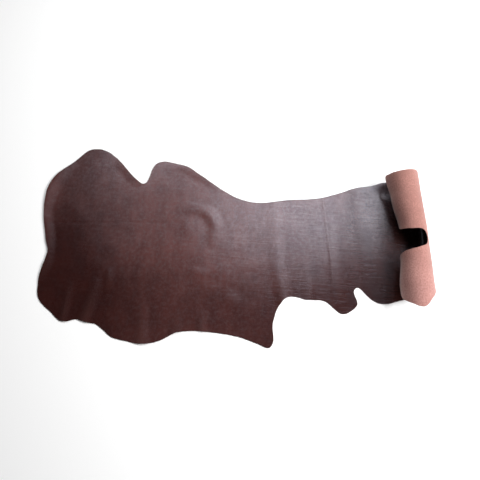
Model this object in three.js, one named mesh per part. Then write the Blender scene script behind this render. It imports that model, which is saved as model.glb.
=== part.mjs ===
// A side of leather: one half of a tanned hide, cut in one piece and laid down grain side up.
// Its neck end is curled up and back over itself, so that the suede flesh side shows there.
// Millimetres. +X runs along the hide to the curled end, +Y across it to the upper long edge, +Z up.
// The origin is under the middle of the leather, on the surface that it lies on.
import * as THREE from "three";

// Thickness of the leather
const THICKNESS = 2.4;
// Length over which the leather bends from lying flat to its full curl
const CURL_ENTRY = 60;
// Spacing of the surface points: along the cut edge, where the leather lies flat, and on its folds
const EDGE_STEP = 18;
const WIDE_STEP = 52;
const FINE_STEP = WIDE_STEP / 2;
// Least distance of an inner point from any other point
const POINT_GAP = 0.75 * EDGE_STEP;
// Small stagger of the inner points, so that no four of them lie on one circle
const STAGGER = 0.8;
// Step for finding the slope of the surface
const SLOPE_STEP = 0.5;

const GRAIN_COLOUR = "#4e3330";
const FLESH_COLOUR = "#c48f86";
const ROUGHNESS = 0.5;

// The cut edge of the leather rolled out flat, walked anticlockwise in five stretches.
// along is measured from the butt end, across from a line down the middle.
const HIND_BELLY = [
  { along: 55, across: -305 },
  { along: 125, across: -376 },
  { along: 188, across: -423 },
  { along: 255, across: -414 },
  { along: 310, across: -429 },
  { along: 352, across: -438 },
  { along: 432, across: -498 },
  { along: 510, across: -519 },
  { along: 570, across: -531 },
  { along: 650, across: -517 },
  { along: 740, across: -476 },
  { along: 840, across: -471 },
  { along: 1020, across: -496 },
  { along: 1105, across: -526 },
];
const FORE_BELLY = [
  { along: 1166, across: -549 },
  { along: 1187, across: -520 },
  { along: 1187, across: -435 },
  { along: 1220, across: -347 },
  { along: 1260, across: -306 },
  { along: 1303, across: -303 },
  { along: 1350, across: -317 },
  { along: 1440, across: -325 },
  { along: 1520, across: -388 },
  { along: 1565, across: -373 },
  { along: 1597, across: -340 },
  { along: 1586, across: -275 },
  { along: 1606, across: -256 },
  { along: 1672, across: -320 },
  { along: 1725, across: -339 },
  { along: 1795, across: -325 },
];
const NECK_END = [
  { along: 1900, across: -304 },
  { along: 2015, across: -305 },
  { along: 2066, across: -343 },
  { along: 2128, across: -396 },
  { along: 2182, across: -372 },
  { along: 2245, across: -325 },
  { along: 2264, across: -270 },
  { along: 2242, across: -122 },
  { along: 2184, across: -108 },
  { along: 2120, across: -101 },
  { along: 2064, across: -73 },
  { along: 2052, across: -40 },
  { along: 2075, across: -2 },
  { along: 2138, across: 6 },
  { along: 2212, across: 28 },
  { along: 2244, across: 62 },
  { along: 2264, across: 230 },
  { along: 2270, across: 322 },
  { along: 2226, across: 316 },
  { along: 2149, across: 315 },
  { along: 2069, across: 328 },
];
const BACK_EDGE = [
  { along: 1876, across: 330 },
  { along: 1790, across: 326 },
  { along: 1740, across: 313 },
  { along: 1655, across: 304 },
  { along: 1550, across: 268 },
  { along: 1445, across: 240 },
  { along: 1290, across: 231 },
  { along: 1130, across: 213 },
  { along: 1030, across: 237 },
  { along: 935, across: 293 },
  { along: 800, across: 398 },
  { along: 750, across: 434 },
  { along: 670, across: 460 },
  { along: 615, across: 471 },
  { along: 570, across: 450 },
  { along: 540, across: 362 },
  { along: 528, across: 337 },
];
const BUTT_END = [
  { along: 508, across: 331 },
  { along: 460, across: 369 },
  { along: 380, across: 464 },
  { along: 338, across: 507 },
  { along: 285, across: 542 },
  { along: 230, across: 552 },
  { along: 196, across: 544 },
  { along: 120, across: 465 },
  { along: 45, across: 393 },
  { along: 12, across: 335 },
  { along: 1, across: 270 },
  { along: 5, across: 170 },
  { along: 42, across: 5 },
  { along: 62, across: -60 },
  { along: 42, across: -190 },
];
const CUT_EDGE = [...HIND_BELLY, ...FORE_BELLY, ...NECK_END, ...BACK_EDGE, ...BUTT_END];

// The curl: where the leather leaves the surface and the radius it bends to, for places across the hide.
// It is tightest beside the bay in its end.
const CURL = [
  { across: -400, leavesAt: 1864, radius: 81 },
  { across: -280, leavesAt: 1869, radius: 79 },
  { across: -120, leavesAt: 1885, radius: 72 },
  { across: 40, leavesAt: 1898, radius: 67 },
  { across: 200, leavesAt: 1885, radius: 75 },
  { across: 330, leavesAt: 1873, radius: 84 },
];

// Soft ridges where the leather doesn't lie flat. A crest runs from one point by way of another to a
// third, each given as along, across and the crest's rise there; reach is how far its sides spread.
// The straight crease sinks into its swell, so its rise is negative.
const RIDGES = [
  { name: "crescent buckle", from: [735, 182, 0.4], by: [945, 192, 4.6], to: [896, -15, 0.6], reach: 50 },
  { name: "inner buckle", from: [746, 130, 0], by: [752, 75, 1.7], to: [762, 10, 0], reach: 36 },
  { name: "swell of the crease", from: [1468, 250, 0.9], by: [1492, 60, 0.9], to: [1486, -380, 0.9], reach: 110 },
  { name: "straight crease", from: [1468, 250, -0.8], by: [1492, 60, -0.8], to: [1486, -380, -0.5], reach: 40 },
  { name: "middle ripple", from: [1218, 240, 0.9], by: [1200, -120, 1.2], to: [1246, -320, 4], reach: 50 },
  { name: "shoulder ripple", from: [1376, -120, 0], by: [1372, -220, 0.8], to: [1364, -330, 2.4], reach: 40 },
  { name: "butt ripple", from: [335, -205, 0], by: [320, -310, 5.5], to: [284, -450, 7], reach: 44 },
  { name: "butt crease", from: [198, -220, 0], by: [198, -300, 3], to: [190, -430, 3.8], reach: 32 },
  { name: "flank ripple", from: [388, -150, 0], by: [385, -215, 6], to: [387, -280, 0], reach: 30 },
  { name: "belly ripple", from: [560, -300, 0], by: [565, -400, 4], to: [572, -550, 7], reach: 44 },
  { name: "belly edge wave", from: [735, -370, 0], by: [734, -440, 3], to: [728, -500, 5], reach: 34 },
  { name: "second edge wave", from: [852, -360, 0], by: [850, -430, 3], to: [848, -500, 5], reach: 34 },
  { name: "elbow dent", from: [945, -300, 0], by: [985, -318, 2.8], to: [1040, -360, 0], reach: 60 },
  { name: "middle dent", from: [750, -168, 0], by: [812, -178, 2.2], to: [880, -182, 0], reach: 36 },
  { name: "lifted butt edge", from: [-2, 140, 3], by: [-10, 330, 9], to: [90, 440, 2], reach: 60 },
  { name: "lifted lower butt edge", from: [6, 130, 2], by: [78, -40, 6], to: [42, -200, 3], reach: 52 },
  { name: "lifted notch edge", from: [360, 490, 0], by: [440, 400, 5], to: [515, 320, 0], reach: 50 },
  { name: "lifted back edge", from: [680, 465, 0], by: [820, 390, 4], to: [960, 280, 0], reach: 46 },
  { name: "swell before the curl", from: [1800, 330, 5], by: [1810, 0, 4.5], to: [1795, -340, 2], reach: 165 },
  { name: "lifted edge by the curl", from: [1725, 350, 2], by: [1780, 352, 12], to: [1860, 350, 12], reach: 95 },
];
const CREST_STEPS = 24;

// Each crest as a curve, and as straight stretches seen from above
const crests = RIDGES.map(({ from, by, to, reach }) => {
  const [start, middle, end] = [from, by, to].map((point) => new THREE.Vector3(...point));
  const curve = new THREE.QuadraticBezierCurve3(start, middle, end);
  const points = curve.getPoints(CREST_STEPS);
  const stretches = points.slice(1).map((high, number) => {
    const low = points[number];
    const plan = new THREE.Line3(new THREE.Vector3(low.x, low.y, 0), new THREE.Vector3(high.x, high.y, 0));
    return { plan, rises: [low.z, high.z] };
  });
  return { reach, curve, stretches };
});

// How far off each crest a place lies, with the crest's rise there
function nearCrests(along, across) {
  const place = new THREE.Vector3(along, across, 0);
  const nearest = new THREE.Vector3();
  return crests.map(({ reach, stretches }) => {
    let offset = Infinity;
    let rise = 0;
    for (const { plan, rises } of stretches) {
      const share = plan.closestPointToPointParameter(place, true);
      const distance = plan.at(share, nearest).distanceTo(place);
      if (distance < offset) {
        offset = distance;
        rise = THREE.MathUtils.lerp(...rises, share);
      }
    }
    return { reach, offset, rise };
  });
}

// How far the ridges lift the leather
function ridgeHeight(along, across) {
  let height = 0;
  for (const { reach, offset, rise } of nearCrests(along, across)) {
    const fall = 1 - (offset / reach) ** 2;
    if (fall > 0) height += rise * fall * fall;
  }
  return height;
}

// The curl at a place across the hide
function curlAt(across) {
  const last = CURL.length - 1;
  const place = THREE.MathUtils.clamp(across, CURL[0].across, CURL[last].across);
  const next = Math.max(1, CURL.findIndex((row) => row.across >= place));
  const [below, above] = [CURL[next - 1], CURL[next]];
  const share = THREE.MathUtils.smoothstep(place, below.across, above.across);
  return {
    starts: THREE.MathUtils.lerp(below.leavesAt, above.leavesAt, share) - CURL_ENTRY / 2,
    radius: THREE.MathUtils.lerp(below.radius, above.radius, share),
  };
}

// Where a place on the rolled-out flesh side comes to lie.
// The bend tightens evenly over the entry and then keeps its radius; ridges stand up from the bent leather.
function fleshPoint(along, across) {
  const { starts, radius } = curlAt(across);
  const past = Math.max(0, along - starts);
  const entry = Math.min(past, CURL_ENTRY);
  const spread = radius * CURL_ENTRY;
  const entryTurn = entry ** 2 / (2 * spread);
  const turn = entryTurn + (past - entry) / radius;
  const entryReach = entry - entry ** 5 / (40 * spread ** 2);
  const entryHeight = entry ** 3 / (6 * spread) - entry ** 7 / (336 * spread ** 3);
  const reached = entryReach + radius * (Math.sin(turn) - Math.sin(entryTurn));
  const height = entryHeight + radius * (Math.cos(entryTurn) - Math.cos(turn));
  const rise = ridgeHeight(along, across);
  const x = along - past + reached - rise * Math.sin(turn);
  return new THREE.Vector3(x, across, height + rise * Math.cos(turn));
}

// The direction from the flesh side to the grain side
function grainDirection(along, across) {
  const alongSlope = fleshPoint(along + SLOPE_STEP, across).sub(fleshPoint(along - SLOPE_STEP, across));
  const acrossSlope = fleshPoint(along, across + SLOPE_STEP).sub(fleshPoint(along, across - SLOPE_STEP));
  return alongSlope.cross(acrossSlope).normalize();
}

// Points evenly spaced along the cut edge
function edgePoints() {
  const landmarks = CUT_EDGE.map(({ along, across }) => new THREE.Vector3(along, across, 0));
  const edge = new THREE.CatmullRomCurve3(landmarks, true, "centripetal");
  edge.arcLengthDivisions = 40 * landmarks.length;
  const count = Math.round(edge.getLength() / EDGE_STEP);
  return edge.getSpacedPoints(count).slice(0, count);
}

function isInside(edge, x, y) {
  let inside = false;
  edge.forEach((a, index) => {
    const b = edge[(index + 1) % edge.length];
    const crosses = (a.y > y) !== (b.y > y);
    if (crosses && x < a.x + ((b.x - a.x) * (y - a.y)) / (b.y - a.y)) inside = !inside;
  });
  return inside;
}

function isFolded(along, across) {
  if (along > curlAt(across).starts) return true;
  return nearCrests(along, across).some(({ reach, offset }) => offset < reach);
}

// Inner points: spaced along each crest, then a wide triangular net, twice as fine on the curl and the ridges
function innerPoints(edge) {
  const box = new THREE.Box3().setFromPoints(edge);
  const rowStep = FINE_STEP * Math.sin(Math.PI / 3);
  const points = [];
  const addPoint = (along, across) => {
    const point = new THREE.Vector3(along, across, 0);
    const isClear = [...edge, ...points].every((other) => other.distanceTo(point) > POINT_GAP);
    if (isClear && isInside(edge, along, across)) points.push(point);
  };
  for (const { curve } of crests) {
    for (const { x, y } of curve.getSpacedPoints(Math.round(curve.getLength() / FINE_STEP))) addPoint(x, y);
  }
  for (let row = Math.ceil(box.min.y / rowStep); row * rowStep < box.max.y; row++) {
    const first = Math.ceil(box.min.x / FINE_STEP - row / 2);
    for (let column = first; (column + row / 2) * FINE_STEP < box.max.x; column++) {
      const along = (column + row / 2) * FINE_STEP + STAGGER * Math.sin(7 * column + 3 * row);
      const across = row * rowStep + STAGGER * Math.cos(5 * column - 11 * row);
      const isWide = column % 2 === 0 && row % 2 === 0;
      if (isWide || isFolded(along, across)) addPoint(along, across);
    }
  }
  return points;
}

function sidesOf([a, b, c]) {
  return [[a, b], [b, c], [c, a]];
}

// Whether a point lies in the circle through a triangle's corners
function circleHolds([a, b, c], point) {
  const [ax, ay, bx, by] = [a.x - point.x, a.y - point.y, b.x - point.x, b.y - point.y];
  const [cx, cy] = [c.x - point.x, c.y - point.y];
  const aa = ax * ax + ay * ay;
  const bb = bx * bx + by * by;
  const cc = cx * cx + cy * cy;
  return aa * (bx * cy - cx * by) - bb * (ax * cy - cx * ay) + cc * (ax * by - bx * ay) > 0;
}

// Well-shaped triangles over a set of points, as triples of their numbers
function triangulate(points) {
  const span = 20 * new THREE.Box3().setFromPoints(points).getSize(new THREE.Vector3()).length();
  const around = [[-span, -span], [span, -span], [0, span]].map(([x, y]) => new THREE.Vector3(x, y, 0));
  const all = [...points, ...around];
  const count = points.length;
  let triangles = [[count, count + 1, count + 2]];
  points.forEach((point, number) => {
    const rim = new Map();
    triangles = triangles.filter((triangle) => {
      if (!circleHolds(triangle.map((corner) => all[corner]), point)) return true;
      for (const [a, b] of sidesOf(triangle)) {
        if (!rim.delete(`${b} ${a}`)) rim.set(`${a} ${b}`, [a, b]);
      }
      return false;
    });
    for (const [a, b] of rim.values()) triangles.push([a, b, number]);
  });
  return triangles.filter((triangle) => triangle.every((corner) => corner < count));
}

// The closed sheet: flesh side, grain side and the cut edge between them
function sheetGeometry() {
  const edge = edgePoints();
  const flat = [...edge, ...innerPoints(edge)];
  const triangles = triangulate(flat).filter((triangle) => {
    const [a, b, c] = triangle.map((corner) => flat[corner]);
    return isInside(edge, (a.x + b.x + c.x) / 3, (a.y + b.y + c.y) / 3);
  });
  const flesh = flat.map(({ x, y }) => fleshPoint(x, y));
  const grain = flat.map(({ x, y }, number) => {
    return grainDirection(x, y).multiplyScalar(THICKNESS).add(flesh[number]);
  });
  const sides = new Set(triangles.flatMap((triangle) => sidesOf(triangle).map(([a, b]) => `${a} ${b}`)));
  const faces = [];
  for (const [a, b, c] of triangles) {
    faces.push(flat.length + a, flat.length + b, flat.length + c);
    faces.push(a, c, b);
    for (const [start, end] of sidesOf([a, b, c])) {
      if (sides.has(`${end} ${start}`)) continue;
      faces.push(start, end, flat.length + end);
      faces.push(start, flat.length + end, flat.length + start);
    }
  }
  const geometry = new THREE.BufferGeometry().setFromPoints([...flesh, ...grain]);
  geometry.setIndex(faces);
  const fleshColour = new THREE.Color(FLESH_COLOUR).toArray();
  const grainColour = new THREE.Color(GRAIN_COLOUR).toArray();
  const colours = [...flesh.flatMap(() => fleshColour), ...grain.flatMap(() => grainColour)];
  geometry.setAttribute("color", new THREE.Float32BufferAttribute(colours, 3));
  geometry.computeVertexNormals();
  return geometry;
}

function leatherSide() {
  const material = new THREE.MeshStandardMaterial({
    vertexColors: true,
    roughness: ROUGHNESS,
    metalness: 0,
  });
  const leather = new THREE.Mesh(sheetGeometry(), material);
  leather.name = "leather_side";
  const middle = new THREE.Box3().setFromObject(leather).getCenter(new THREE.Vector3());
  leather.position.set(-middle.x, -middle.y, 0);
  return leather;
}

const hide = new THREE.Group();
hide.name = "hide";
hide.add(leatherSide());

export default hide;
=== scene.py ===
"""A side of leather, laid grain side up with its neck end curled back over itself.

The sheet lies on the folds of its CAD solid. To them it adds small creases, the slight waves of
dried leather, a wavering cut edge, and the finishes of the grain side, the flesh side and the edge
between them.
"""

import logging
import math
from dataclasses import dataclass
from enum import Enum
from typing import Any, Optional, Union

import bpy
import numpy as np
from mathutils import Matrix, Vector, noise
from mathutils.geometry import delaunay_2d_cdt
from mathutils.kdtree import KDTree


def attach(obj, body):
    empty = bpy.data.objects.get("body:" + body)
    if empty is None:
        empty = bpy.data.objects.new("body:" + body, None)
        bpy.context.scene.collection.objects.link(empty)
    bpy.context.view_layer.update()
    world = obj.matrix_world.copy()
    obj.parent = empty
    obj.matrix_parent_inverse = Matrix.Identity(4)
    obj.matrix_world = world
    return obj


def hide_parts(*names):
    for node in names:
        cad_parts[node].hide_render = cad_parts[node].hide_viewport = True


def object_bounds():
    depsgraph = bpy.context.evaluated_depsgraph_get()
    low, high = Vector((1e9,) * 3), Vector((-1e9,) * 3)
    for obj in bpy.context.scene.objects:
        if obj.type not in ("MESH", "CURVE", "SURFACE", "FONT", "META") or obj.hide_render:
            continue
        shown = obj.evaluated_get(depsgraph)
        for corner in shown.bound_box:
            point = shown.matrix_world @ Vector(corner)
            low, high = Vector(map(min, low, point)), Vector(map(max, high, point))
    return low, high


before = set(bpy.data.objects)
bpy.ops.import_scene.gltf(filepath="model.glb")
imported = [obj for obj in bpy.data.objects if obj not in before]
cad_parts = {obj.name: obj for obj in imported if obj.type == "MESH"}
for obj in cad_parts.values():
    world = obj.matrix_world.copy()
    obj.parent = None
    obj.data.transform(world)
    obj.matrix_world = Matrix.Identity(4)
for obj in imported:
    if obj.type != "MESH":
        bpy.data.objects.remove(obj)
CAD_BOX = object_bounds()

LOG = logging.getLogger("leather_side")
MM = 0.001
NODE = "leather_side"
BODY = "root"
PIECE = "leather_side_sheet"
FLAT_MAP = "flat_place"
BAKE_MAP = "OFBake"
FOLD_NAME = "fold"

# The middle of the view on the rolled-out leather, in metres.
VIEW_MIDDLE = (1.032, 0.0, 0.0)

# Numbers of the Mix node's sockets for colours, whose names its other sockets share.
MIX_SHARE, MIX_FIRST, MIX_SECOND, MIX_RESULT = 0, 6, 7, 2

# The triangulation's option that keeps only the triangles inside the outline.
INSIDE_ONLY = 1

# The value that noise swings about.
NOISE_MIDDLE = 0.5

Row2 = tuple[float, float]
Row3 = tuple[float, float, float]
Colour = tuple[float, float, float]

# The cut edge of the leather rolled out flat, walked anticlockwise in five stretches.
# Each row is (along, across) in millimetres, from the butt end and from a line down the middle.
HIND_BELLY: tuple[Row2, ...] = (
    (55, -305), (125, -376), (188, -423), (255, -414), (310, -429), (352, -438), (432, -498),
    (510, -519), (570, -531), (650, -517), (740, -476), (840, -471), (1020, -496), (1105, -526),
)
FORE_BELLY: tuple[Row2, ...] = (
    (1166, -549), (1187, -520), (1187, -435), (1220, -347), (1260, -306), (1303, -303),
    (1350, -317), (1440, -325), (1520, -388), (1565, -373), (1597, -340), (1586, -275),
    (1606, -256), (1672, -320), (1725, -339), (1795, -325),
)
NECK_END: tuple[Row2, ...] = (
    (1900, -304), (2015, -305), (2066, -343), (2128, -396), (2182, -372), (2245, -325), (2264, -270),
    (2242, -122), (2184, -108), (2120, -101), (2064, -73), (2052, -40), (2075, -2), (2138, 6),
    (2212, 28), (2244, 62), (2264, 230), (2270, 322), (2226, 316), (2149, 315), (2069, 328),
)
BACK_EDGE: tuple[Row2, ...] = (
    (1876, 330), (1790, 326), (1740, 313), (1655, 304), (1550, 268), (1445, 240), (1290, 231),
    (1130, 213), (1030, 237), (935, 293), (800, 398), (750, 434), (670, 460), (615, 471),
    (570, 450), (540, 362), (528, 337),
)
BUTT_END: tuple[Row2, ...] = (
    (508, 331), (460, 369), (380, 464), (338, 507), (285, 542), (230, 552), (196, 544), (120, 465),
    (45, 393), (12, 335), (1, 270), (5, 170), (42, 5), (62, -60), (42, -190),
)

# The curl: (across, where the leather leaves the surface, radius it bends to) in millimetres.
CURL_ROWS: tuple[Row3, ...] = (
    (-400, 1864, 81),
    (-280, 1869, 79),
    (-120, 1885, 72),
    (40, 1898, 67),
    (200, 1885, 75),
    (330, 1873, 84),
)


class Side(Enum):
    """A surface of the leather, numbered as its material slot."""

    GRAIN = 0
    FLESH = 1
    EDGE = 2


@dataclass(frozen=True)
class Ridge:
    """A soft ridge, or a trough where its rise is negative, in millimetres.

    The crest runs from its start towards a second point and on to its end, each given as (along,
    across, rise). Its sides spread as far as the reach.
    """

    start: Row3
    by: Row3
    end: Row3
    reach: float
    steps: int = 32

    def crest(self) -> np.ndarray:
        """Walks along the crest.

        Returns:
            Its points as (along, across, rise) in metres, one row each.
        """
        share = np.linspace(0.0, 1.0, self.steps + 1)[:, None]
        start, by, end = (np.array(point) * MM for point in (self.start, self.by, self.end))
        return (1 - share) ** 2 * start + 2 * share * (1 - share) * by + share**2 * end

    def near(self, places: np.ndarray) -> tuple[np.ndarray, np.ndarray]:
        """Finds how near places are to the crest.

        Args:
            places: flat places in metres, one row each.

        Returns:
            For each place, a number from 0 beyond the ridge's sides to 1 on its crest, and the
            crest's rise.
        """
        reach = self.reach * MM
        crest = self.crest()
        low, high = crest[:, :2].min(0) - reach, crest[:, :2].max(0) + reach
        chosen = np.all((places > low) & (places < high), axis=1)
        tried = places[chosen]
        best = np.full(len(tried), reach)
        best_rise = np.zeros(len(tried))
        for first, last in zip(crest, crest[1:]):
            step = (last - first)[:2]
            share = np.clip((tried - first[:2]) @ step / (step @ step), 0.0, 1.0)
            gap = np.linalg.norm(tried - first[:2] - share[:, None] * step, axis=1)
            closer = gap < best
            best = np.where(closer, gap, best)
            best_rise = np.where(closer, first[2] + share * (last[2] - first[2]), best_rise)
        closeness, rise = np.zeros(len(places)), np.zeros(len(places))
        closeness[chosen] = (1 - (best / reach) ** 2) ** 2
        rise[chosen] = best_rise
        return closeness, rise


# Ridges that the solid has too.
MAIN_RIDGES: tuple[Ridge, ...] = (
    # The crescent buckle and a smaller one inside it.
    Ridge((735, 182, 0.4), (945, 192, 4.6), (896, -15, 0.6), 50),
    Ridge((746, 130, 0), (752, 75, 1.7), (762, 10, 0), 36),
    # The swell of the straight crease, and the crease that sinks into it.
    Ridge((1468, 250, 0.9), (1492, 60, 0.9), (1486, -380, 0.9), 110),
    Ridge((1468, 250, -0.8), (1492, 60, -0.8), (1486, -380, -0.5), 40),
    # Ripples of the middle and the shoulder.
    Ridge((1218, 240, 0.9), (1200, -120, 1.2), (1246, -320, 4), 50),
    Ridge((1376, -120, 0), (1372, -220, 0.8), (1364, -330, 2.4), 40),
    # Ripples and edge waves of the butt, the flank and the belly.
    Ridge((335, -205, 0), (320, -310, 5.5), (284, -450, 7), 44),
    Ridge((198, -220, 0), (198, -300, 3), (190, -430, 3.8), 32),
    Ridge((388, -150, 0), (385, -215, 6), (387, -280, 0), 30),
    Ridge((560, -300, 0), (565, -400, 4), (572, -550, 7), 44),
    Ridge((735, -370, 0), (734, -440, 3), (728, -500, 5), 34),
    Ridge((852, -360, 0), (850, -430, 3), (848, -500, 5), 34),
    # Low buckles behind the elbow and in the middle.
    Ridge((945, -300, 0), (985, -318, 2.8), (1040, -360, 0), 60),
    Ridge((750, -168, 0), (812, -178, 2.2), (880, -182, 0), 36),
    # Edges that lift off the surface at the butt, the notch and the back.
    Ridge((-2, 140, 3), (-10, 330, 9), (90, 440, 2), 60),
    Ridge((6, 130, 2), (78, -40, 6), (42, -200, 3), 52),
    Ridge((360, 490, 0), (440, 400, 5), (515, 320, 0), 50),
    Ridge((680, 465, 0), (820, 390, 4), (960, 280, 0), 46),
    # The swell before the curl, and the edge that lifts beside it.
    Ridge((1800, 330, 5), (1810, 0, 4.5), (1795, -340, 2), 165),
    Ridge((1725, 350, 2), (1780, 352, 12), (1860, 350, 12), 95),
)

# Narrow creases that only the finer sheet shows.
FINE_CREASES: tuple[Ridge, ...] = (
    # The long crease of the butt, and the lines in the straight crease and a ripple.
    Ridge((40, 97, -0.2), (380, 98, -0.35), (735, 96, -0.2), 12),
    Ridge((1468, 250, -0.6), (1492, 60, -0.5), (1486, -385, -0.35), 14),
    Ridge((197, -250, 0), (197, -310, 0.3), (191, -410, 0.2), 14),
    # Two faint creases across the hide.
    Ridge((640, 310, 0.15), (642, 50, 0.25), (640, -200, 0), 18),
    Ridge((1058, 150, 0.1), (1050, -80, 0.25), (1056, -300, 0.15), 18),
)


@dataclass(frozen=True)
class Wave:
    """Slight random waves: their height, and their length along and across the hide, in millimetres."""

    height: float
    along: float
    across: float

    def at(self, places: np.ndarray) -> np.ndarray:
        """Finds the height of the waves.

        Args:
            places: flat places in metres, one row each.

        Returns:
            The height in metres, never below 0, at each place.
        """
        scaled = places / (np.array((self.along, self.across)) * MM)
        swing = np.array([noise.noise(Vector((x, y, self.along))) for x, y in scaled])
        return self.height * MM * (1 + swing) / 2


WAVES: tuple[Wave, ...] = (
    Wave(1.2, 210, 200),
    Wave(0.85, 75, 80),
    Wave(0.4, 55, 400),
    Wave(0.36, 27, 27),
)


@dataclass(frozen=True)
class Curl:
    """The curled neck end, in metres."""

    rows: tuple[Row3, ...] = CURL_ROWS
    entry: float = 60 * MM

    def at(self, across: np.ndarray) -> tuple[np.ndarray, np.ndarray]:
        """Finds the curl at places across the hide.

        Args:
            across: distances from the middle line in metres.

        Returns:
            Where the bend starts along the hide, and the radius it comes to, for each place.
        """
        places, leaves, radii = (np.array(column) * MM for column in zip(*self.rows))
        clipped = np.clip(across, places[0], places[-1])
        below = np.clip(np.searchsorted(places, clipped) - 1, 0, len(places) - 2)
        share = (clipped - places[below]) / (places[below + 1] - places[below])
        share = share**2 * (3 - 2 * share)
        leaves_at = leaves[below] + share * (leaves[below + 1] - leaves[below])
        radius = radii[below] + share * (radii[below + 1] - radii[below])
        return leaves_at - self.entry / 2, radius

    def bend(self, places: np.ndarray) -> tuple[np.ndarray, np.ndarray]:
        """Bends flat places up and back, evenly tighter over the entry and then at one radius.

        Args:
            places: flat places in metres, one row each.

        Returns:
            Where they come to lie, and the direction from the flesh side to the grain side there.
        """
        along, across = places.T
        starts, radius = self.at(across)
        past = np.clip(along - starts, 0.0, None)
        entry = np.minimum(past, self.entry)
        spread = radius * self.entry
        entry_turn = entry**2 / (2 * spread)
        turn = entry_turn + (past - entry) / radius
        # Over the entry, the first terms of the series for an evenly tightening bend are enough.
        reached = entry - entry**5 / (40 * spread**2)
        reached += radius * (np.sin(turn) - np.sin(entry_turn))
        height = entry**3 / (6 * spread) - entry**7 / (336 * spread**3)
        height += radius * (np.cos(entry_turn) - np.cos(turn))
        points = np.stack((along - past + reached, across, height), axis=1)
        upward = np.stack((-np.sin(turn), np.zeros_like(turn), np.cos(turn)), axis=1)
        return points, upward


@dataclass(frozen=True)
class CutEdge:
    """The outline that the leather was cut to, in metres; wavers are (size, length) in millimetres."""

    landmarks: tuple[Row2, ...] = HIND_BELLY + FORE_BELLY + NECK_END + BACK_EDGE + BUTT_END
    step: float = 5 * MM
    wavers: tuple[Row2, ...] = ((1.4, 38.0), (0.7, 13.0))
    pieces: int = 40

    def curve(self) -> np.ndarray:
        """Draws the smooth closed curve through the landmarks.

        Returns:
            Close points on the curve in order.
        """
        points = np.array(self.landmarks) * MM
        share = np.linspace(0.0, 1.0, self.pieces, endpoint=False)[:, None]
        stretches = []
        count = len(points)
        for number in range(count):
            before, low, high, after = (points[(number + shift) % count] for shift in (-1, 0, 1, 2))
            steps = (low - before, high - low, after - high)
            first, middle, last = (math.sqrt(np.linalg.norm(step)) for step in steps)
            straight = (high - low) / middle
            leave = (low - before) / first - (high - before) / (first + middle) + straight
            arrive = straight - (after - low) / (middle + last) + (after - high) / last
            leave, arrive = leave * middle, arrive * middle
            bend = 3 * (high - low) - 2 * leave - arrive
            twist = 2 * (low - high) + leave + arrive
            stretches.append(low + share * leave + share**2 * bend + share**3 * twist)
        return np.concatenate(stretches)

    def points(self) -> np.ndarray:
        """Walks along the edge with the small waver of a knife cut.

        Returns:
            Points at even steps along the edge, but for the waver.
        """
        curve = self.curve()
        run = runs_round(curve)
        closed = np.vstack((curve, curve[:1]))
        count = round(run[-1] / self.step)
        places = np.linspace(0.0, run[-1], count, endpoint=False)
        even = np.stack([np.interp(places, run, column) for column in closed.T], axis=1)
        ahead = np.roll(even, -1, axis=0) - np.roll(even, 1, axis=0)
        outward = np.stack((ahead[:, 1], -ahead[:, 0]), axis=1)
        outward /= np.linalg.norm(outward, axis=1, keepdims=True)
        waver = np.zeros(count)
        for size, length in self.wavers:
            waver += [size * MM * noise.noise(Vector((x, y, length)) / (length * MM)) for x, y in even]
        return even + outward * waver[:, None]


def runs_round(points: np.ndarray) -> np.ndarray:
    """Returns the distance run to each point of a ring from its first, and last the whole way round."""
    steps = np.linalg.norm(np.roll(points, -1, axis=0) - points, axis=1)
    return np.concatenate(([0.0], np.cumsum(steps)))


def lies_inside(places: np.ndarray, outline: np.ndarray, block: int = 2000) -> np.ndarray:
    """Tests which places lie inside a closed outline.

    Args:
        places: flat places, one row each.
        outline: the outline's points in order.
        block: how many places are tested at a time.

    Returns:
        True or False for each place.
    """
    low, high = outline, np.roll(outline, -1, axis=0)
    rise = high[:, 1] - low[:, 1]
    slope = (high[:, 0] - low[:, 0]) / np.where(rise == 0.0, np.inf, rise)
    inside = []
    for first in range(0, len(places), block):
        x, y = (column[:, None] for column in places[first : first + block].T)
        spans = (low[:, 1] > y) != (high[:, 1] > y)
        crossings = spans & (x < low[:, 0] + slope * (y - low[:, 1]))
        inside.append(crossings.sum(axis=1) % 2 == 1)
    return np.concatenate(inside)


Value = Union["Shade", float]


class Shade:
    """A shader value that takes part in Python expressions, each of which adds a Math node."""

    def __init__(self, graph: "Graph", socket: bpy.types.NodeSocket) -> None:
        """Keeps the socket and the graph that it belongs to."""
        self.graph = graph
        self.socket = socket

    def _math(self, operation: str, first: Value, second: Value) -> "Shade":
        """Returns the result of one Math node."""
        return self.graph.add("ShaderNodeMath", 0, {"operation": operation}, {0: first, 1: second})

    def __add__(self, other: Value) -> "Shade":
        """Returns self + other."""
        return self._math("ADD", self, other)

    def __radd__(self, other: Value) -> "Shade":
        """Returns other + self."""
        return self._math("ADD", other, self)

    def __sub__(self, other: Value) -> "Shade":
        """Returns self - other."""
        return self._math("SUBTRACT", self, other)

    def __rsub__(self, other: Value) -> "Shade":
        """Returns other - self."""
        return self._math("SUBTRACT", other, self)

    def __mul__(self, other: Value) -> "Shade":
        """Returns self * other."""
        return self._math("MULTIPLY", self, other)

    def __rmul__(self, other: Value) -> "Shade":
        """Returns other * self."""
        return self._math("MULTIPLY", other, self)


@dataclass(frozen=True)
class Cloud:
    """Soft noise: waves to the metre, finer layers, their strength, and a stretch along and across."""

    scale: float
    detail: float
    roughness: float
    stretch: Optional[Row2] = None


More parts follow.
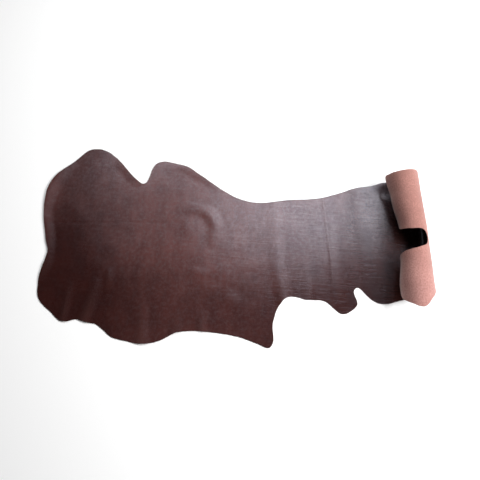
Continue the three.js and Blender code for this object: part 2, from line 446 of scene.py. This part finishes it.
class Graph:
    """The node tree of one material."""

    def __init__(self, name: str) -> None:
        """Makes a material with an empty tree.

        Args:
            name: the material's name.
        """
        self.material = bpy.data.materials.new(name)
        self.material.use_nodes = True
        self.tree = self.material.node_tree
        self.tree.nodes.clear()

    def node(self, kind: str, settings: dict[str, Any], inputs: dict[Any, Any]) -> bpy.types.Node:
        """Adds a node.

        Args:
            kind: the node's type.
            settings: properties of the node, set before its sockets.
            inputs: values or links of its sockets, by name or number.

        Returns:
            The node.
        """
        node = self.tree.nodes.new(kind)
        for name, value in settings.items():
            setattr(node, name, value)
        for key, value in inputs.items():
            if isinstance(value, Shade):
                self.tree.links.new(value.socket, node.inputs[key])
            else:
                node.inputs[key].default_value = value
        return node

    def add(
        self, kind: str, output: Union[str, int], settings: dict[str, Any], inputs: dict[Any, Any]
    ) -> Shade:
        """Adds a node and returns one of its outputs."""
        return Shade(self, self.node(kind, settings, inputs).outputs[output])

    def place(self) -> Shade:
        """Returns the place on the rolled-out leather, in metres."""
        return self.add("ShaderNodeUVMap", "UV", {"uv_map": FLAT_MAP}, {})

    def part(self, vector: Shade, axis: str) -> Shade:
        """Returns one part of a vector."""
        return self.add("ShaderNodeSeparateXYZ", axis, {}, {"Vector": vector})

    def combine(self, along: Shade, across: Shade) -> Shade:
        """Returns a flat place made of two numbers."""
        return self.add("ShaderNodeCombineXYZ", "Vector", {}, {"X": along, "Y": across})

    def fold(self) -> Shade:
        """Returns how sharply the leather is creased, from 0 to 1."""
        return self.add("ShaderNodeAttribute", "Fac", {"attribute_name": FOLD_NAME}, {})

    def clouds(self, place: Shade, cloud: Cloud) -> Shade:
        """Adds soft noise.

        Args:
            place: where on the rolled-out leather.
            cloud: what the noise is like.

        Returns:
            The noise, from 0 to 1.
        """
        if cloud.stretch:
            scale = (*cloud.stretch, 1.0)
            place = self.add("ShaderNodeMapping", "Vector", {}, {"Vector": place, "Scale": scale})
        inputs = {
            "Vector": place,
            "Scale": cloud.scale,
            "Detail": cloud.detail,
            "Roughness": cloud.roughness,
        }
        return self.add("ShaderNodeTexNoise", "Fac", {"noise_dimensions": "2D"}, inputs)

    def swing(self, clouds: Shade) -> Shade:
        """Returns noise as a swing about 0."""
        return clouds - NOISE_MIDDLE

    def mean(self, first: Shade, second: Shade) -> Shade:
        """Returns the value midway between two."""
        return (first + second) * 0.5

    def cells(self, place: Shade, scale: float, feature: str) -> Shade:
        """Returns distances in a pattern of uneven cells with a number to the metre."""
        settings = {"voronoi_dimensions": "2D", "feature": feature}
        return self.add("ShaderNodeTexVoronoi", "Distance", settings, {"Vector": place, "Scale": scale})

    def band(self, value: Shade, span: Row2) -> Shade:
        """Adds a smooth step.

        Args:
            value: what the step follows.
            span: the value at the step's foot and the value at its top.

        Returns:
            A number from 0 at the foot to 1 at the top.
        """
        settings = {"interpolation_type": "SMOOTHSTEP"}
        inputs = {"Value": value, "From Min": span[0], "From Max": span[1]}
        return self.add("ShaderNodeMapRange", "Result", settings, inputs)

    def blend(self, share: Value, first: Union[Shade, Colour], second: Union[Shade, Colour]) -> Shade:
        """Mixes two colours.

        Args:
            share: how much of the second colour there is, from 0 to 1.
            first: a colour.
            second: another colour.

        Returns:
            The mixed colour.
        """
        inputs = {MIX_SHARE: share}
        for socket, colour in ((MIX_FIRST, first), (MIX_SECOND, second)):
            inputs[socket] = colour if isinstance(colour, Shade) else (*colour, 1.0)
        return self.add("ShaderNodeMix", MIX_RESULT, {"data_type": "RGBA"}, inputs)

    def bump(self, height: Shade) -> Shade:
        """Returns the surface direction for a height in millimetres."""
        inputs = {"Height": height, "Distance": MM, "Strength": 1.0}
        return self.add("ShaderNodeBump", "Normal", {}, inputs)

    def finish(self, inputs: dict[str, Any]) -> bpy.types.Material:
        """Closes the tree with a surface shader.

        Args:
            inputs: values or links of the shader's sockets.

        Returns:
            The material.
        """
        surface = self.add("ShaderNodeBsdfPrincipled", "BSDF", {}, inputs)
        self.node("ShaderNodeOutputMaterial", {}, {"Surface": surface})
        return self.material


@dataclass(frozen=True)
class Zone:
    """A part of the hide: its strength, and spans in metres over each of which it comes in softly."""

    strength: float
    along: tuple[Row2, ...] = ()
    across: tuple[Row2, ...] = ()

    def on(self, graph: Graph, along: Shade, across: Shade) -> Shade:
        """Finds the zone's strength at a place.

        Args:
            graph: the material's node tree.
            along: the place along the hide.
            across: the place across it.

        Returns:
            The strength, which falls to 0 outside the zone.
        """
        bands = [graph.band(along, span) for span in self.along]
        bands += [graph.band(across, span) for span in self.across]
        return math.prod(bands, start=self.strength)


@dataclass(frozen=True)
class GrainFinish:
    """The dyed and waxed grain side, with painted shade near the curl and on the butt's belly side.

    Spans of noise run from where a mark starts to where it is full. Heights are in millimetres,
    reaches and zones in metres, and waves and cells are counted to the metre. Coat and rough values
    say how much each noise changes the coat and the roughness.
    """

    deep: Colour = (0.004, 0.001, 0.001)
    dark: Colour = (0.0250, 0.0038, 0.0021)
    red: Colour = (0.1030, 0.0355, 0.0320)
    pulled: Colour = (0.085, 0.040, 0.036)
    haze: Colour = (0.100, 0.068, 0.070)
    wax: Colour = (0.850, 0.820, 1.0)
    specular: float = 0.35

    blotches: Cloud = Cloud(4.5, 5.0, 0.6)
    mottle: Cloud = Cloud(11.0, 7.0, 0.68)
    stains: Cloud = Cloud(1.0, 6.0, 0.62, (17.0, 4.5))
    grit: Cloud = Cloud(150.0, 3.0, 0.6)
    bloom: Cloud = Cloud(55.0, 5.0, 0.72)
    growth: Cloud = Cloud(1.0, 2.0, 0.5)
    growth_along: float = 5.0
    growth_across: float = 90.0
    growth_lean: float = 9.0
    pebble_cells: float = 480.0
    pore_cells: float = 900.0

    blotch_reach: float = 0.15
    warm_span: Row2 = (0.15, 0.62)
    belly_span: Row2 = (-0.33, -0.12)
    belly_warmth: float = 0.42
    belly_delay: Zone = Zone(0.1, across=((0.05, -0.2),))
    neck: Zone = Zone(0.88, along=((0.85, 1.6),))
    back: Zone = Zone(0.4, across=((0.0, 0.35),))
    butt_end: Zone = Zone(0.35, along=((0.1, 0.02),), across=((-0.1, 0.06),))
    # Painted shade: a broad band on the butt's belly side is less red, for the shade of a gentle
    # trough.
    trough_painted_shade: Zone = Zone(0.33, along=((0.85, 0.6),), across=((-0.10, -0.19), (-0.33, -0.23)))
    # Painted shade: the neck end darkens towards the curl, more towards the back edge, for the roll's
    # shade.
    neck_painted_shade: Zone = Zone(0.25, along=((1.5, 1.8),))
    bend_painted_shade: Zone = Zone(0.4, along=((1.5, 1.8),), across=((-0.2, 0.05),))
    lined: Zone = Zone(1.0, along=((0.85, 1.3),))

    line_span: Row2 = (0.008, 0.0)
    wear_span: Row2 = (0.34, 0.66)
    grit_span: Row2 = (0.45, 0.75)
    bloom_span: Row2 = (0.4, 0.7)
    pore_span: Row2 = (0.35, 0.1)
    wear_share: float = 0.32
    grit_share: float = 0.08
    fold_share: float = 0.25
    haze_share: float = 0.02
    warm_haze_share: float = 0.36
    pore_share: float = 0.4
    line_share: float = 0.12

    roughness: float = 0.21
    rough_mottle: float = 0.05
    rough_stains: float = 0.03
    rough_fold: float = -0.03
    coat: float = 0.355
    coat_wear: float = -0.12
    coat_growth: float = 0.35
    coat_grit: float = 0.6
    coat_bloom: float = 0.75
    pebble_height: float = 0.04
    grit_height: float = 0.02
    growth_height: float = 0.2
    line_height: float = -0.1

    def warmth(self, graph: Graph, along: Shade, across: Shade) -> Shade:
        """Finds how far the red dye shows, less a painted shade band on the butt's belly side.

        Args:
            graph: the material's node tree.
            along: the place along the hide.
            across: the place across it.

        Returns:
            A share from 0 to 1.
        """
        shift = graph.swing(graph.clouds(graph.place(), self.blotches)) * self.blotch_reach
        delay = self.belly_delay.on(graph, along, across)
        warmth = graph.band(along + shift - delay, self.warm_span)
        warmth = warmth * (1.0 - self.neck.on(graph, along, across))
        belly = graph.band(across + shift, self.belly_span)
        warmth = warmth * (self.belly_warmth + belly * (1.0 - self.belly_warmth))
        warmth = warmth + (1.0 - warmth) * self.back.on(graph, along, across)
        warmth = warmth + self.butt_end.on(graph, along, across)
        # Painted shade: less red dye in the band where a gentle trough would lie in shade.
        return warmth * (1.0 - self.trough_painted_shade.on(graph, along, across))

    def material(self) -> bpy.types.Material:
        """Makes the finish.

        Returns:
            The material.
        """
        graph = Graph("grain")
        place = graph.place()
        along = graph.part(place, "X")
        across = graph.part(place, "Y")
        fold = graph.fold()
        mottle = graph.clouds(place, self.mottle)
        stains = graph.clouds(place, self.stains)
        grit = graph.clouds(place, self.grit)
        bloom = graph.clouds(place, self.bloom)
        pebbles = graph.cells(place, self.pebble_cells, "SMOOTH_F1")
        pores = graph.cells(place, self.pore_cells, "F1")
        leaning = across * self.growth_across + along * self.growth_lean
        growth = graph.clouds(graph.combine(along * self.growth_along, leaning), self.growth)
        swell = graph.swing(growth)
        lines = graph.band(swell * swell, self.line_span) * self.lined.on(graph, along, across)
        wear = graph.band(graph.mean(mottle, stains), self.wear_span)

        warmth = self.warmth(graph, along, across)
        # Painted shade beside and inside the curl, mixed towards deep below.
        darkened = self.neck_painted_shade.on(graph, along, across) + self.bend_painted_shade.on(graph, along, across)
        gritty = graph.band(grit, self.grit_span) * self.grit_share
        hazy = graph.band(bloom, self.bloom_span) * (self.haze_share + warmth * self.warm_haze_share)
        pitted = graph.band(pores, self.pore_span) * self.pore_share
        colour = graph.blend(warmth, self.dark, self.red)
        # Mixes towards deep for random wear and for the painted shade near the curl.
        colour = graph.blend(wear * self.wear_share + darkened, colour, self.deep)
        colour = graph.blend(gritty + fold * self.fold_share, colour, self.pulled)
        colour = graph.blend(hazy, colour, self.haze)
        colour = graph.blend(pitted + lines * self.line_share, colour, self.deep)

        rough = graph.swing(mottle) * self.rough_mottle + graph.swing(stains) * self.rough_stains
        coat = self.coat + wear * self.coat_wear + swell * self.coat_growth
        coat = coat + graph.swing(grit) * self.coat_grit + graph.swing(bloom) * self.coat_bloom
        height = pebbles * self.pebble_height + grit * self.grit_height
        height = height + growth * self.growth_height + lines * self.line_height
        return graph.finish({
            "Base Color": colour,
            "Roughness": self.roughness + rough + fold * self.rough_fold,
            "Specular IOR Level": self.specular,
            "Specular Tint": (*self.wax, 1.0),
            "Coat Weight": coat,
            "Coat Roughness": self.roughness,
            "Normal": graph.bump(height),
        })


@dataclass(frozen=True)
class FleshFinish:
    """The napped flesh side, paler and less fibrous towards the belly; heights are in millimetres."""

    pale: Colour = (0.412, 0.200, 0.170)
    deep: Colour = (0.255, 0.117, 0.098)
    belly_pale: Colour = (0.470, 0.246, 0.227)
    roughness: float = 0.9
    specular: float = 0.2
    sheen: float = 0.3
    patches: Cloud = Cloud(9.0, 4.0, 0.6)
    tufts: Cloud = Cloud(80.0, 5.0, 0.8)
    fibres: Cloud = Cloud(1.0, 1.0, 0.5, (150.0, 120.0))
    belly_side_span: Row2 = (0.0, -0.35)
    tuft_span: Row2 = (0.35, 0.65)
    fibre_span: Row2 = (0.32, 0.7)
    belly_pale_share: float = 0.6
    tuft_share: float = 0.5
    fibre_loss: float = 0.35
    tuft_height: float = 0.8
    fibre_height: float = 0.5

    def material(self) -> bpy.types.Material:
        """Makes the finish.

        Returns:
            The material.
        """
        graph = Graph("flesh")
        place = graph.place()
        patches = graph.clouds(place, self.patches)
        tufts = graph.clouds(place, self.tufts)
        fibres = graph.clouds(place, self.fibres)
        # The flesh turns paler, with fainter fibres, towards the belly side.
        belly_side = graph.band(graph.part(place, "Y"), self.belly_side_span)
        napped = graph.band(tufts, self.tuft_span) * self.tuft_share
        combed = graph.band(fibres, self.fibre_span) * (1.0 - belly_side * self.fibre_loss)
        worn = graph.band(graph.mean(patches, tufts), self.tuft_span)
        colour = graph.blend(worn, self.deep, self.pale)
        colour = graph.blend(belly_side * self.belly_pale_share, colour, self.belly_pale)
        colour = graph.blend(napped, colour, self.deep)
        colour = graph.blend(combed, colour, self.deep)
        return graph.finish({
            "Base Color": colour,
            "Roughness": self.roughness,
            "Specular IOR Level": self.specular,
            "Sheen Weight": self.sheen,
            "Normal": graph.bump(tufts * self.tuft_height + fibres * self.fibre_height),
        })


@dataclass(frozen=True)
class EdgeFinish:
    """The raw cut edge, dyed through near the grain; depths from the flesh side are in millimetres."""

    flesh: Colour = (0.20, 0.10, 0.085)
    darkened: Colour = (0.025, 0.010, 0.008)
    roughness: float = 0.8
    fibres: Cloud = Cloud(1.0, 4.0, 0.7, (260.0, 1600.0))
    fibre_reach: float = 1.2
    fibre_height: float = 0.3
    dyed_span: Row2 = (0.7, 2.0)

    def material(self) -> bpy.types.Material:
        """Makes the finish.

        Returns:
            The material.
        """
        graph = Graph("cut_edge")
        place = graph.place()
        fibres = graph.clouds(place, self.fibres)
        depth = graph.part(place, "Y") * (1 / MM) + graph.swing(fibres) * self.fibre_reach
        return graph.finish({
            "Base Color": graph.blend(graph.band(depth, self.dyed_span), self.flesh, self.darkened),
            "Roughness": self.roughness,
            "Normal": graph.bump(fibres * self.fibre_height),
        })


@dataclass(frozen=True)
class BakeSheet:
    """Where the sides lie on the square that they are baked to.

    The grain is above, the flesh below it, and the edge in rows at the foot.
    """

    margin: float = 0.01
    grain_level: float = 0.515
    flesh_level: float = 0.030
    edge_level: float = 0.003
    row_pitch: float = 0.006
    row_height: float = 0.003

    def scale(self, flat: np.ndarray) -> float:
        """Returns the size of a metre of leather on the square."""
        return (1 - 2 * self.margin) / np.ptp(flat[:, 0])

    def face(self, flat: np.ndarray, level: float) -> np.ndarray:
        """Returns where flat places lie on the square, above a level."""
        return (flat - flat.min(0)) * self.scale(flat) + (self.margin, level)

    def edge(self, flat: np.ndarray, runs: np.ndarray, depths: np.ndarray) -> np.ndarray:
        """Lays the corners of the edge's faces in rows.

        Args:
            flat: all flat places.
            runs: distance of each corner along the edge, one row a face.
            depths: share of the thickness at each corner.

        Returns:
            Where the corners lie on the square.
        """
        length = np.ptp(flat[:, 0])
        row = np.floor(runs.min(axis=1, keepdims=True) / length)
        across = (runs - row * length) * self.scale(flat) + self.margin
        level = self.edge_level + row * self.row_pitch + depths * self.row_height
        return np.stack((across, level), axis=2)


@dataclass(frozen=True)
class Patch:
    """Faces of one side, with the flat place and the baked place of each of their corners."""

    side: Side
    faces: np.ndarray
    places: np.ndarray
    baked: np.ndarray


@dataclass(frozen=True)
class LeatherSide:
    """The whole piece of leather, in metres.

    Rim rows are (share of the thickness, swell in millimetres). The slack is the share of the waves
    that is left at each of two places along the hide.
    """

    edge: CutEdge = CutEdge()
    curl: Curl = Curl()
    bake: BakeSheet = BakeSheet()
    thickness: float = 2.4 * MM
    step: float = 10 * MM
    edge_margin: float = 3.5 * MM
    stagger: float = 0.3 * MM
    stagger_turns: tuple[Row2, Row2] = ((7.0, 3.0), (5.0, -11.0))
    merge_gap: float = 1e-7
    full_fold: float = 8 * MM
    full_crease: float = 0.3 * MM
    slack_places: Row2 = (1.05, 1.35)
    slack: Row2 = (1.0, 0.1)
    rim: tuple[Row2, ...] = ((0.18, 0.30), (0.5, 0.42), (0.85, 0.22))

    def shift(self) -> np.ndarray:
        """Returns the step from flat places to the shared frame."""
        low = self.edge.curve().min(0)
        return np.array((CAD_BOX[0].x - low[0], CAD_BOX[0].y - low[1], 0.0))

    def inner_places(self, outline: np.ndarray) -> np.ndarray:
        """Spreads a net of places that is twice as fine along the creases.

        Args:
            outline: the outline's points in order.

        Returns:
            Flat places inside the outline and clear of it.
        """
        step = self.step / 2
        row_step = step * math.sin(math.pi / 3)
        low, high = outline.min(0), outline.max(0)
        rows = np.arange(math.ceil(low[1] / row_step), math.floor(high[1] / row_step) + 1)
        columns = np.arange(int((high[0] - low[0]) / step) + 2)
        row, column = (grid.ravel() for grid in np.meshgrid(rows, columns, indexing="ij"))
        column = column - row // 2
        turns = [by_column * column + by_row * row for by_column, by_row in self.stagger_turns]
        along = (column + row / 2) * step + self.stagger * np.sin(turns[0])
        across = row * row_step + self.stagger * np.cos(turns[1])
        places = np.stack((along, across), axis=1)
        kept = (column % 2 == 0) & (row % 2 == 0)
        for crease in FINE_CREASES:
            kept |= crease.near(places)[0] > 0.0
        places = places[kept]
        places = places[lies_inside(places, outline)]
        tree = KDTree(len(outline))
        for number, place in enumerate(outline):
            tree.insert((*place, 0.0), number)
        tree.balance()
        clear = [tree.find((*place, 0.0))[2] > self.edge_margin for place in places]
        return places[clear]

    def net(self) -> tuple[np.ndarray, np.ndarray, int]:
        """Covers the rolled-out leather with triangles.

        Returns:
            The flat places, the triangles as rows of their numbers, and how many places lie on
            the edge.
        """
        outline = self.edge.points()
        places = np.vstack((outline, self.inner_places(outline)))
        rim = [list(range(len(outline)))]
        corners = [Vector(place) for place in places]
        made = delaunay_2d_cdt(corners, [], rim, INSIDE_ONLY, self.merge_gap)
        flat = np.array([tuple(place) for place in made[0]])
        triangles = np.array(made[2])
        a, b, c = (flat[triangles[:, corner]] for corner in range(3))
        turn = np.cross(b - a, c - a)
        triangles[turn < 0] = triangles[turn < 0][:, ::-1]
        return flat, triangles, len(outline)

    def relief(self, places: np.ndarray) -> tuple[np.ndarray, np.ndarray]:
        """Finds how far the leather stands off its plain shape.

        Args:
            places: flat places in metres, one row each.

        Returns:
            The height, and how sharply it is creased there from 0 to 1.
        """
        slack = np.interp(places[:, 0], self.slack_places, self.slack)
        height = slack * sum(wave.at(places) for wave in WAVES)
        fold = np.zeros(len(places))
        for ridge in MAIN_RIDGES + FINE_CREASES:
            near, rise = ridge.near(places)
            height = height + near * rise
            full = self.full_crease if ridge in FINE_CREASES else self.full_fold
            fold = np.maximum(fold, near * np.clip(rise / full, 0.0, 1.0))
        return height - height.min(), fold

    def rim_patches(self, flat: np.ndarray, rings: list[np.ndarray]) -> list[Patch]:
        """Makes the faces of the cut edge.

        Args:
            flat: all flat places, those on the edge first.
            rings: numbers of the points round the edge, from the flesh side to the grain side.

        Returns:
            A patch for each row of faces.
        """
        count = len(rings[0])
        run = runs_round(flat[:count])
        runs = np.stack((run[:-1], run[1:], run[1:], run[:-1]), axis=1)
        depths = [0.0, *(share for share, _ in self.rim), 1.0]
        patches = []
        for lower, upper, low, high in zip(rings, rings[1:], depths, depths[1:]):
            faces = np.stack((lower, np.roll(lower, -1), np.roll(upper, -1), upper), axis=1)
            depth = np.broadcast_to((low, low, high, high), runs.shape)
            places = np.stack((runs, depth * self.thickness), axis=2)
            patches.append(Patch(Side.EDGE, faces, places, self.bake.edge(flat, runs, depth)))
        return patches

    def build(self) -> bpy.types.Object:
        """Builds the sheet and dresses every side.

        Returns:
            One closed mesh object, in the scene.
        """
        flat, triangles, count = self.net()
        points, upward = self.curl.bend(flat)
        height, fold = self.relief(flat)
        flesh = points + upward * height[:, None] + self.shift()
        grain = flesh + upward * self.thickness
        ahead = np.roll(flesh[:count], -1, axis=0) - np.roll(flesh[:count], 1, axis=0)
        outward = np.cross(ahead, upward[:count])
        outward /= np.linalg.norm(outward, axis=1, keepdims=True)
        rows, rings = [flesh, grain], [np.arange(count)]
        for share, swell in self.rim:
            rings.append(np.arange(count) + sum(map(len, rows)))
            rows.append(flesh[:count] + share * self.thickness * upward[:count] + swell * MM * outward)
        rings.append(np.arange(count) + len(flat))
        under = triangles[:, ::-1]
        grain_bake = self.bake.face(flat, self.bake.grain_level)
        flesh_bake = self.bake.face(flat, self.bake.flesh_level)
        patches = [
            Patch(Side.GRAIN, triangles + len(flat), flat[triangles], grain_bake[triangles]),
            Patch(Side.FLESH, under, flat[under], flesh_bake[under]),
            *self.rim_patches(flat, rings),
        ]
        folds = np.concatenate((fold, fold, *(fold[:count] for _ in self.rim)))
        return self.join(np.vstack(rows), patches, folds, (rings[0], rings[-1]))

    def join(
        self,
        points: np.ndarray,
        patches: list[Patch],
        folds: np.ndarray,
        corners: tuple[np.ndarray, np.ndarray],
    ) -> bpy.types.Object:
        """Makes the mesh object.

        Args:
            points: all points.
            patches: the faces of every side.
            folds: how sharply the leather is creased at each point.
            corners: the two rings of points at the corners of the cut edge.

        Returns:
            The object, in the scene.
        """
        mesh = bpy.data.meshes.new(PIECE)
        faces = [face for patch in patches for face in patch.faces.tolist()]
        mesh.from_pydata(points.tolist(), [], faces)
        sides = np.concatenate([np.full(len(patch.faces), patch.side.value) for patch in patches])
        mesh.polygons.foreach_set("material_index", sides.astype(np.int32))
        for name, part in ((FLAT_MAP, "places"), (BAKE_MAP, "baked")):
            corner_places = np.concatenate([getattr(patch, part).ravel() for patch in patches])
            mesh.uv_layers.new(name=name).uv.foreach_set("vector", corner_places.astype(np.float32))
        creased = mesh.attributes.new(FOLD_NAME, "FLOAT", "POINT")
        creased.data.foreach_set("value", folds.astype(np.float32))
        mesh.shade_smooth()
        self.sharpen(mesh, corners)
        for finish in (GrainFinish(), FleshFinish(), EdgeFinish()):
            mesh.materials.append(finish.material())
        piece = bpy.data.objects.new(PIECE, mesh)
        bpy.context.scene.collection.objects.link(piece)
        return piece

    def sharpen(self, mesh: bpy.types.Mesh, corners: tuple[np.ndarray, np.ndarray]) -> None:
        """Marks the corners of the cut edge as sharp.

        Args:
            mesh: the sheet.
            corners: rings of points.
        """
        ends = np.empty(2 * len(mesh.edges), np.int32)
        mesh.edges.foreach_get("vertices", ends)
        ends = np.sort(ends.reshape(-1, 2), axis=1)
        sharp = np.zeros(len(ends), bool)
        for ring in corners:
            inside = np.all((ends >= ring[0]) & (ends <= ring[-1]), axis=1)
            sharp |= inside & np.isin(ends[:, 1] - ends[:, 0], (1, len(ring) - 1))
        mesh.attributes.new("sharp_edge", "BOOLEAN", "EDGE").data.foreach_set("value", sharp)


@dataclass(frozen=True)
class Softbox:
    """A soft rectangular light aimed at the middle of the view, in metres and degrees from it."""

    name: str
    azimuth: float
    elevation: float
    distance: float
    width: float
    height: float
    radiance: float

    def place(self, target: Vector) -> None:
        """Adds the light.

        Args:
            target: the point that it faces.
        """
        turn, lift = math.radians(self.azimuth), math.radians(self.elevation)
        level = math.cos(lift)
        away = Vector((math.sin(turn) * level, math.cos(turn) * level, math.sin(lift)))
        data = bpy.data.lights.new(self.name, "AREA")
        data.shape = "RECTANGLE"
        data.size = self.width
        data.size_y = self.height
        data.energy = self.radiance * math.pi * self.width * self.height
        light = bpy.data.objects.new(self.name, data)
        light.location = target + away * self.distance
        light.rotation_euler = away.to_track_quat("Z", "Y").to_euler()
        light.visible_camera = False
        bpy.context.scene.collection.objects.link(light)


SOFTBOXES: tuple[Softbox, ...] = (
    Softbox("right_softbox", 36.5, 56.0, 4.0, 0.6, 0.9, 3.6),
    Softbox("centre_softbox", 27.0, 55.0, 4.0, 1.3, 1.0, 5.2),
    Softbox("high_softbox", 14.0, 60.0, 4.0, 1.6, 1.4, 3.8),
    Softbox("middle_softbox", -2.0, 56.0, 4.2, 1.3, 1.3, 1.75),
    Softbox("left_softbox", -32.0, 52.0, 4.5, 1.6, 1.6, 0.51),
    Softbox("back_softbox", -15.0, 42.0, 4.6, 2.0, 1.5, 4.15),
    Softbox("side_softbox", 95.0, 39.7, 4.0, 2.0, 2.0, 19.2),
)


@dataclass(frozen=True)
class Studio:
    """Floor, light and camera, in metres and degrees."""

    target: Vector
    lights: tuple[Softbox, ...] = SOFTBOXES
    pitch: float = 66.0
    distance: float = 2.45
    lens: float = 36.0
    sensor: float = 36.0
    floor_size: float = 14.0
    floor_colour: Colour = (0.97, 0.97, 0.97)
    floor_roughness: float = 0.9
    room_colour: Colour = (1.0, 1.0, 1.0)
    room_light: float = 0.09

    def floor(self) -> bpy.types.Object:
        """Lays the plain pale floor.

        Returns:
            The floor object.
        """
        half = self.floor_size / 2
        mesh = bpy.data.meshes.new("floor")
        corners = [(-half, -half, 0), (half, -half, 0), (half, half, 0), (-half, half, 0)]
        mesh.from_pydata(corners, [], [tuple(range(len(corners)))])
        look = {"Base Color": (*self.floor_colour, 1.0), "Roughness": self.floor_roughness}
        mesh.materials.append(Graph("pale_floor").finish(look))
        floor = bpy.data.objects.new("floor", mesh)
        bpy.context.scene.collection.objects.link(floor)
        return floor

    def camera(self) -> None:
        """Adds the camera at the photograph's viewing angle."""
        lift = math.radians(self.pitch)
        back = Vector((0.0, -math.cos(lift), math.sin(lift)))
        data = bpy.data.cameras.new("camera")
        data.lens = self.lens
        data.sensor_width = self.sensor
        camera = bpy.data.objects.new("camera", data)
        camera.location = self.target + back * self.distance
        camera.rotation_euler = back.to_track_quat("Z", "Y").to_euler()
        bpy.context.scene.collection.objects.link(camera)
        bpy.context.scene.camera = camera

    def light(self) -> None:
        """Adds the softboxes and the faint light of the room."""
        for softbox in self.lights:
            softbox.place(self.target)
        world = bpy.data.worlds.new("room")
        world.use_nodes = True
        background = world.node_tree.nodes["Background"]
        background.inputs["Color"].default_value = (*self.room_colour, 1.0)
        background.inputs["Strength"].default_value = self.room_light
        bpy.context.scene.world = world
        bpy.context.scene.view_settings.view_transform = "Standard"


def main() -> None:
    """Builds the leather and the studio round it, and logs how many faces the sheet has."""
    logging.basicConfig(level=logging.INFO, format="%(name)s: %(message)s")
    side = LeatherSide()
    studio = Studio(Vector(np.array(VIEW_MIDDLE) + side.shift()))
    studio.camera()
    studio.light()
    floor = studio.floor()
    piece = side.build()
    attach(piece, BODY)
    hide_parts(NODE)
    LOG.info("%s has %d faces", piece.name, len(piece.data.polygons))


if __name__ == "__main__":
    main()
